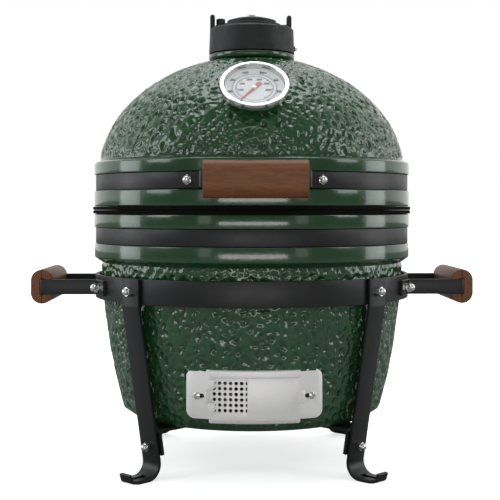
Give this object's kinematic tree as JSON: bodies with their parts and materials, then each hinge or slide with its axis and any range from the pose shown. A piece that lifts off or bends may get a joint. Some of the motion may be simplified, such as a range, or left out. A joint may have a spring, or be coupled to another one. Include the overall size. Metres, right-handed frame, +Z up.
{
  "type": "ceramic charcoal grill",
  "caption": "Compact ceramic charcoal grill with a hinged glazed dome, a sliding draft door, a pivoting top vent, a dial thermometer, wooden grips and a low steel stand.",
  "frame": {"origin": "on the ground under the middle of the bowl, at the centre of the bounding box's foot", "axes": "+Z up along the bowl's axis, front with the draft door and lid handle facing -Y, hinge at +Y, side handles along X"},
  "size_m": [0.548, 0.49, 0.5695],
  "materials": {
    "green_glaze": "very glossy hammered glaze, smooth on the collars",
    "refractory": "matt unglazed firebrick",
    "felt": "matt heat-proof felt",
    "black_powder_coat": "satin black powder coat",
    "cast_iron": "rough seasoned casting",
    "cast_vent": "fine black painted casting",
    "grate_steel": "bright drawn rod",
    "stainless_sheet": "fine horizontal brushing",
    "bright_steel": "polished",
    "steel_rod": "drawn steel",
    "wood_grip": "oiled reddish-brown hardwood",
    "dial_face": "matt white enamel",
    "needle_red": "satin red paint",
    "lens": "clear"
  },
  "bodies": {
    "base": {"base_bowl": "green_glaze", "base_gasket": "felt", "fire_box": "refractory", "fire_ring": "refractory", "charcoal_grate": "cast_iron", "cooking_grate": "grate_steel", "base_band": "black_powder_coat", "stand_ring": "black_powder_coat", "cross_base": "black_powder_coat", "leg_front_left": "black_powder_coat", "leg_front_right": "black_powder_coat", "leg_rear_right": "black_powder_coat", "leg_rear_left": "black_powder_coat", "right_handle_strap": "black_powder_coat", "left_handle_strap": "black_powder_coat", "hinge_lower_bracket": "black_powder_coat", "ring_bolt_front_left": "bright_steel", "ring_bolt_front_right": "bright_steel", "ring_bolt_rear_right": "bright_steel", "ring_bolt_rear_left": "bright_steel", "cross_bolt_front_left": "bright_steel", "cross_bolt_front_right": "bright_steel", "cross_bolt_rear_right": "bright_steel", "cross_bolt_rear_left": "bright_steel", "right_handle_bolt_a": "bright_steel", "right_handle_bolt_b": "bright_steel", "left_handle_bolt_a": "bright_steel", "left_handle_bolt_b": "bright_steel", "draft_screw_left": "bright_steel", "draft_screw_right": "bright_steel", "right_grip_outer": "wood_grip", "right_grip_inner": "wood_grip", "left_grip_outer": "wood_grip", "left_grip_inner": "wood_grip", "draft_frame": "stainless_sheet", "hinge_pin": "steel_rod", "hinge_spring_right": "steel_rod", "hinge_spring_left": "steel_rod"},
    "lid": {"dome_gasket": "felt", "dome_band": "black_powder_coat", "dome_shell": "green_glaze", "lid_handle_strap": "black_powder_coat", "lid_grip_front": "wood_grip", "lid_grip_rear": "wood_grip", "lid_handle_stud_left": "bright_steel", "lid_handle_stud_right": "bright_steel", "thermometer_case": "bright_steel", "thermometer_dial": "dial_face", "thermometer_lens": "lens", "thermometer_probe": "steel_rod", "thermometer_nut": "steel_rod", "vent_housing": "cast_vent", "vent_pivot_bolt": "bright_steel", "hinge_upper_bracket": "black_powder_coat"},
    "vent_slide": {"vent_slide_disc": "cast_vent", "daisy_bolt": "bright_steel"},
    "daisy": {"daisy_wheel": "cast_vent"},
    "needle": {"thermometer_needle": "needle_red"},
    "screen_slider": {"draft_screen": "stainless_sheet"},
    "door_slider": {"draft_door": "stainless_sheet"}
  },
  "joints": [
    {"name": "lid_hinge", "type": "hinge", "parent": "base", "child": "lid", "pos_m": [0, 0.231, 0.31705], "axis": [-1, 0, 0], "range_deg": [0, 75]},
    {"name": "vent_slide_pivot", "type": "hinge", "parent": "lid", "child": "vent_slide", "pos_m": [-0.04, 0, 0.5537], "axis": [0, 0, 1], "range_deg": [0, 70]},
    {"name": "daisy_spin", "type": "hinge", "parent": "vent_slide", "child": "daisy", "pos_m": [0, 0, 0.56], "axis": [0, 0, 1], "continuous": true},
    {"name": "needle_turn", "type": "hinge", "parent": "lid", "child": "needle", "pos_m": [0, -0.15825, 0.449], "axis": [0, 0.7133, -0.7009], "range_deg": [0, 280], "stiffness_Nm_per_rad": 0.001},
    {"name": "screen_slide", "type": "hinge", "parent": "base", "child": "screen_slider", "pos_m": [0, 0, 0.105], "axis": [0, 0, 1], "range_deg": [0, 11.5]},
    {"name": "door_slide", "type": "hinge", "parent": "base", "child": "door_slider", "pos_m": [0, 0, 0.105], "axis": [0, 0, 1], "range_deg": [-11.5, 0]}
  ]
}
